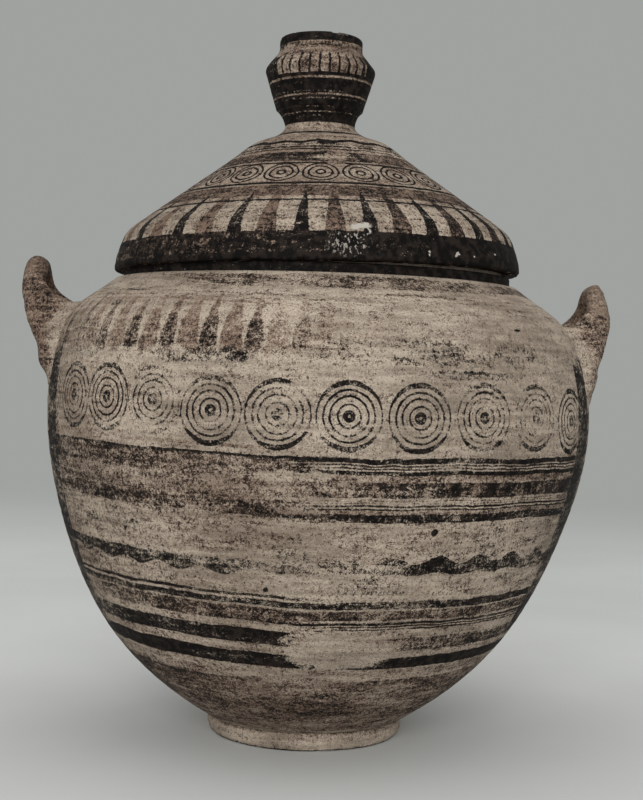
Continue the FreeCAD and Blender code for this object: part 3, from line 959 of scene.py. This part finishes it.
# %% The lid's bands, circles and rays
result, position, angle, height, radius = new_painting("painted lid", "Chipped")
rough = position.grain(150, 3) - 0.5
height = set_level(angle, height, radius) - LID_LIFT + rough + (position.grain(30, 2) - 0.5) * 1.2
angle = angle + rough * 0.6
dark, thin = painted_rows(height, ROWS_LID)
faded = patch(angle + rough * 14, height + rough * 6, (8, 391), (7.5, 7)) * -0.66 + 1
to_the_side = height.between(386.5, 394) * angle.cosine().fade(0.95, 0.78)
dark, thin = dark * faded * (to_the_side * -0.3 + 1), thin * faded

wobble = (angle * 4).sine() * 0.5 + (angle * 15 + 30).cosine() * 0.55 + WAVY_HEIGHT
blob = patch(angle, height, (4.5, 402.0), (7.0, 1.8)) * 1.3
smear = patch(angle, height, (1, 397), (6, 5)) * 0.32
dark = dark.more_of((height - wobble).within(1.0, 0.3) * 1.2).more_of(blob).more_of(smear)

drifted = angle + angle.cosine() * 6 - 6
across = drifted.from_nearest(LID_CIRCLE_PITCH, 0.7) * math.radians(LID_CIRCLE_RADIUS)
up = (height - LID_CIRCLE_HEIGHT) / LID_SLOPE
dark = dark.more_of(ring_set(across, up, LID_RINGS)[1] * 1.1)

falling = height.fade(360, 335)
black_ray = angle.from_nearest(RAY_PITCH, BLACK_RAY).within(falling + 1.0 - height.fade(355, 364) * 0.8, 0.25)
thin_ray = angle.from_nearest(RAY_PITCH, THIN_RAY).within(falling * 1.1 + 1.6, 0.25)
in_rays = height.between(330, 362.5, 0.7)
panels = height.between(335.5, 357.4, 0.4)
panel_line = height.between(355.9, 357.2)
brush_lines = height.from_nearest(3.55, 338).within(0.35, 0.15) * panels * rough.fade(-0.08, 0.12) * 0.55
dark = dark.more_of(black_ray * in_rays * 0.92).more_of(panel_line).more_of(brush_lines)
thin = thin.more_of(thin_ray * in_rays * 1.2)
dark = dark.more_of(thin_ray * in_rays * (angle.sine() * 0.28 + 0.48))

# below 336 mm the rim is dark slip; lowest adds painted shade under the rim's edge, and the sine term adds
# painted shade on its right side
rim = height.fade(336, 335)
lowest = height.fade(323, 320)
dark = rim.blend(dark, lowest * 0.3 + angle.sine() * 0.22 + 1.02)
thin = rim.blend(thin, 1.1)
scratched = position.grain(130, 3, (1, 0.6, 2.6)).fade(0.55, 0.63) * height.between(321, 335)
dark = dark - scratched * angle.between(-36, 2, 4) * 0.34
# a floor of slip over the whole lid: thin slip, and painted shade that darkens the lid's upward face
dark, thin = dark.more_of(0.16), thin.more_of(panels.blend(0.56, 0.30))

# %% Where the lid is chipped down to the clay
# (degrees, mm), (half width in degrees, half height in mm)
LID_CHIPS = [((11.5, 339), (2.6, 2.2)), ((12.8, 335.5), (0.35, 2.4)), ((39.3, 324.6), (0.7, 1.2)),
             ((30, 324.7), (0.4, 0.8)), ((55.8, 326.5), (0.4, 0.8)), ((46.3, 324.6), (0.4, 0.7)),
             ((29.8, 322.6), (0.4, 0.8))]

flakes = position.grain(700, 2, (1, 1, 0.6)).fade(0.56, 0.64)
flaking = patch(angle, height, (8.0, 328), (5.5, 8)) * flakes * 0.7
angle, height = angle + rough * 6, height + rough * 7
for middle, half_size in LID_CHIPS:
    flaking = flaking.more_of(patch(angle, height, middle, half_size))
keep = position.grain(24, 3) * 0.7 + 0.68
put_out(result, Dark=dark * keep, Thin=thin * keep, Chipped=flaking)

# %% The knob: rows, and 34 upright strokes above the keel, which run together at the sides
STROKE_PITCH = 360 / 34
STROKES_LOW, STROKES_HIGH = 452, 466.5

result, position, angle, height, radius = new_painting("painted knob")
rough = position.grain(200, 3) - 0.5
height = set_level(angle, height, radius) + rough * 1.3
dark, thin = painted_rows(height, ROWS_KNOB)
sides = angle.sine().away().fade(0.70, 0.88)
stroke = (angle + rough * 5).from_nearest(STROKE_PITCH, -3).within(sides * 4 + 1.3, 0.4)
dark = dark.more_of(stroke * (height + rough * 5).between(STROKES_LOW, STROKES_HIGH, 0.8) * 1.1)
keep = position.grain(40, 3) * 0.7 + 0.66
put_out(result, Dark=dark.more_of(0.34) * keep, Thin=thin.more_of(0.72) * keep)

# %% [markdown]
# ## From masks to materials
#
# Every finish is built in the same order as on the bench: clay first, then thin slip, then dark slip,
# then chips that show pale clay again. Slip is far too thin to be felt, so the Bump node only raises the
# sand and the brush streaks of the clay. Old slip is matte, and only a little smoother than the clay.

# %% Colours of clay and slip
PALE_CLAY = (0.455, 0.380, 0.298, 1)
DULL_CLAY = (0.225, 0.182, 0.140, 1)
DIRT = (0.070, 0.055, 0.044, 1)
THIN_SLIP = (0.155, 0.098, 0.070, 1)
DARK_SLIP = (0.0048, 0.0040, 0.0036, 1)
BROWN_SLIP = (0.020, 0.0145, 0.0115, 1)
CHIP = (0.42, 0.385, 0.335, 1)
RELIEF = 0.6  # of the sand and the streaks, in mm


def new_material(name):
    """A material, with the inputs of its shader and the position on the piece."""
    material = bpy.data.materials.new(name)
    material.use_nodes = True
    nodes = material.node_tree.nodes
    position = Wire(nodes.new("ShaderNodeTexCoord").outputs["Object"])
    return material, nodes["Principled BSDF"].inputs, position


def earthenware(name, painting=None, flat=(0.0, 0.0)):
    """A material of clay under slip: painting names a group, and flat is slip that is the same all over."""
    material, shader, position = new_material(name)
    clay = use_group("fired clay", Position=position, Pale=PALE_CLAY, Dull=DULL_CLAY, Dirt=DIRT)
    layers = use_group(painting, Position=position) if painting else {"Dark": flat[0], "Thin": flat[1]}
    worn = use_group("worn slip", Position=position, Dark=layers["Dark"], Thin=layers["Thin"])
    dark, thin = worn["Dark mask"], worn["Thin mask"]
    slip = position.grain(210, 3).fade(0.42, 0.66).cover(DARK_SLIP, BROWN_SLIP)
    colour = dark.cover((thin * 0.85).cover(clay["Color"], THIN_SLIP), slip)
    if "Chipped" in layers:
        colour = layers["Chipped"].cover(colour, CHIP)
    normal = new_node("Bump", {"Height": clay["Relief"], "Strength": 0.55, "Distance": RELIEF * MM})[0]
    roughness = clay["Roughness"] - dark * 0.14
    fill(shader, Base_Color=colour, Roughness=roughness, Specular_IOR_Level=0.08, Normal=normal)
    return material


painted_wall = earthenware("painted wall", "painted wall")
painted_lid = earthenware("painted lid", "painted lid")
painted_knob = earthenware("painted knob", "painted knob")
# the collar is dark all over: dark slip, with painted shade for the deep gap under the lid's rim
collar_slip_and_gap_shade = earthenware("collar slip and gap shade", flat=(1.2, 0.8))
bare_clay = earthenware("bare clay", flat=(0.05, 0.16))
print("materials", [m.name for m in (painted_wall, painted_lid, painted_knob, collar_slip_and_gap_shade, bare_clay)])

# %% The foot: bare clay, with painted contact shadow along its standing edge, and darker towards its top where it meets the wall
result, position, _, height, _ = new_painting("foot with contact shade")
# painted contact shadow along the standing edge; higher up the foot is darker towards the wall
edge = height.fade(1.8, 0.6) * 0.9
height = height + (position.grain(60, 3) - 0.5) * 9
put_out(result, Dark=edge.more_of(height.fade(7, 14) * 0.34), Thin=height.fade(5, 13) * 0.6)
foot_clay = earthenware("foot clay", "foot with contact shade")

# %% The handles: dark on the loop, dark on the outer side of its root from a painted band and painted shade, and bare where they are smeared on
ROOT_SAG = 4  # how far the belly's sag has moved the handles, in mm

result, position, angle, height, radius = new_painting("painted handle")
attribute = position.socket.id_data.nodes.new("ShaderNodeAttribute")
attribute.attribute_name = "from_wall"
from_wall = Wire(attribute.outputs["Fac"])
rubbed = position.grain(38, 4)
right = angle.fade(-60, 60)
from_axis = radius - angle.sine() * ROOT_SAG
# the outer side of the root is dark: a painted band, and painted shade along the handle's outer edge
outer_root_band_and_shade = (from_axis + rubbed * 8).fade(188, 195) * height.fade(292, 268) * 0.9
loop = (from_wall + rubbed * 16).fade(9, 26).more_of(outer_root_band_and_shade)
put_out(result, Dark=loop * (rubbed * 0.9 - right * 0.16 - 0.12) + 0.13,
        Thin=loop * (right * -0.25 + 0.75) + 0.24)
painted_handle = earthenware("painted handle", "painted handle")

# %% Give each piece its finish, and bare clay to the faces that nobody painted
FINISHES = {
    "foot_ring": foot_clay, "floor_disc": bare_clay, "lower_wall": painted_wall,
    "shoulder_wall": painted_wall, "mouth_collar": collar_slip_and_gap_shade, "lid_rim": painted_lid,
    "lid_cone": painted_lid, "lid_flange": bare_clay, "knob_cup": painted_knob,
    "handle_left": painted_handle, "handle_right": painted_handle,
}
INSIDE = 24.0  # a level face this near the axis is inside a vessel


def bare_inside(piece):
    """Give the second material to the faces that look towards the axis."""
    faces = piece.data.polygons
    centres, normals = vectors(faces, "center") / MM, vectors(faces, "normal")
    radius = np.maximum(np.hypot(centres[:, 0], centres[:, 1]), 1e-6)
    outward = (centres[:, 0] * normals[:, 0] + centres[:, 1] * normals[:, 1]) / radius
    inside = (outward < -0.03) | ((np.abs(outward) < 0.2) & (radius < INSIDE))
    faces.foreach_set("material_index", inside.astype(np.int32))
    return int(inside.sum())


for solid_name, finish in FINISHES.items():
    piece = pieces[solid_name]
    piece.data.materials.clear()
    piece.data.materials.append(finish)
    if not solid_name.startswith("handle") and finish is not bare_clay:
        piece.data.materials.append(bare_clay)
        print(piece.name, "has", bare_inside(piece), "bare faces inside")

# %% [markdown]
# ## The photographer's table
#
# The jar stands on a very wide pale floor. Near the jar it takes light and shadow. Farther off it
# passes into the grey of the backdrop, which is the world's colour as the camera sees it, so no edge and
# no lamp's spot shows from any side.

# %% A pale floor without an end
WORLD_STRENGTH = 0.64
FLOOR_NEAR = (0.655, 0.669, 0.652, 1)
FLOOR_NEAR_DULL = (0.605, 0.618, 0.602, 1)
FLOOR_BOUNCE = (0.55, 0.555, 0.55, 1)  # darker for bounced light, or it would light the jar from below
BACKDROP = (0.350, 0.362, 0.350, 1)
BLACK, WHITE = (0, 0, 0, 1), (1, 1, 1, 1)
NEAR, FAR = 550, 2100  # the floor passes into the backdrop between these, in mm from the axis
bpy.ops.mesh.primitive_circle_add(vertices=96, radius=30, fill_type="NGON", location=(0, 0, 0))
sheet = bpy.context.object
sheet.name = "paper_floor"


def seen_rays(tree):
    """1 for the rays that show a thing as it looks: from the camera, a mirror or a glass."""
    rays = tree.nodes.new("ShaderNodeLightPath").outputs
    kinds = [Wire(rays[f"Is {kind} Ray"]) for kind in ("Camera", "Glossy", "Transmission")]
    return functools.reduce(Wire.more_of, kinds)


paper, shader, position = new_material("grey paper")
clouded = position.grain(2.6, 3).fade(0.35, 0.65).cover(FLOOR_NEAR_DULL, FLOOR_NEAR)
far = use_group("place on the jar", Position=position)["Radius"].fade(NEAR, FAR)
seen = seen_rays(paper.node_tree)
fill(shader, Base_Color=seen.cover(FLOOR_BOUNCE, far.cover(clouded, BLACK)), Roughness=0.95,
     Specular_IOR_Level=0.0, Emission_Color=BACKDROP, Emission_Strength=seen * far)
sheet.data.materials.append(paper)
print("floor", len(sheet.data.polygons), "face")

# %% The camera, where the outline of the jar in the photograph puts it
FOCAL_PIXELS, PHOTO_PIXELS = 1426, 800  # the lens, and the height of the photograph
FILM = 36
STANDPOINT = (0.00573, -1.0, 0.250)
DOWN, ROLL = 1.1, 1.647  # degrees
camera = bpy.data.objects.new("camera", bpy.data.cameras.new("camera"))
bpy.context.scene.collection.objects.link(camera)
camera.data.lens = FOCAL_PIXELS * FILM / PHOTO_PIXELS
camera.data.sensor_width = FILM
camera.matrix_world = (
    Matrix.Translation(STANDPOINT)
    @ Matrix.Rotation(math.radians(90 - DOWN), 4, "X")
    @ Matrix.Rotation(math.radians(ROLL), 4, "Z")
)
bpy.context.scene.camera = camera
print("lens", round(camera.data.lens, 1), "mm")

# %% Soft light
bpy.context.scene.view_settings.view_transform = "Standard"
world = bpy.data.worlds.new("soft room")
bpy.context.scene.world = world
world.use_nodes = True
seen = seen_rays(world.node_tree)
background = world.node_tree.nodes["Background"].inputs
fill(background, Color=seen.cover(WHITE, BACKDROP), Strength=seen.blend(WORLD_STRENGTH, 1.0))


JAR_MIDDLE = (0, 0, 0.2)


def soft_lamp(name, place, size, power):
    """A round lamp that looks at the jar, with its size in metres and its power in watts."""
    lamp = bpy.data.objects.new(name, bpy.data.lights.new(name, "AREA"))
    bpy.context.scene.collection.objects.link(lamp)
    lamp.data.shape = "DISK"
    lamp.data.size = size
    lamp.data.energy = power
    turn = (Vector(place) - Vector(JAR_MIDDLE)).to_track_quat("Z", "Y")
    lamp.matrix_world = Matrix.Translation(place) @ turn.to_matrix().to_4x4()


soft_lamp("window", (-0.3, -3.3, 1.05), 1.9, 62)
soft_lamp("skylight", (0, -0.2, 2.5), 2.0, 8)
print("world strength", WORLD_STRENGTH)
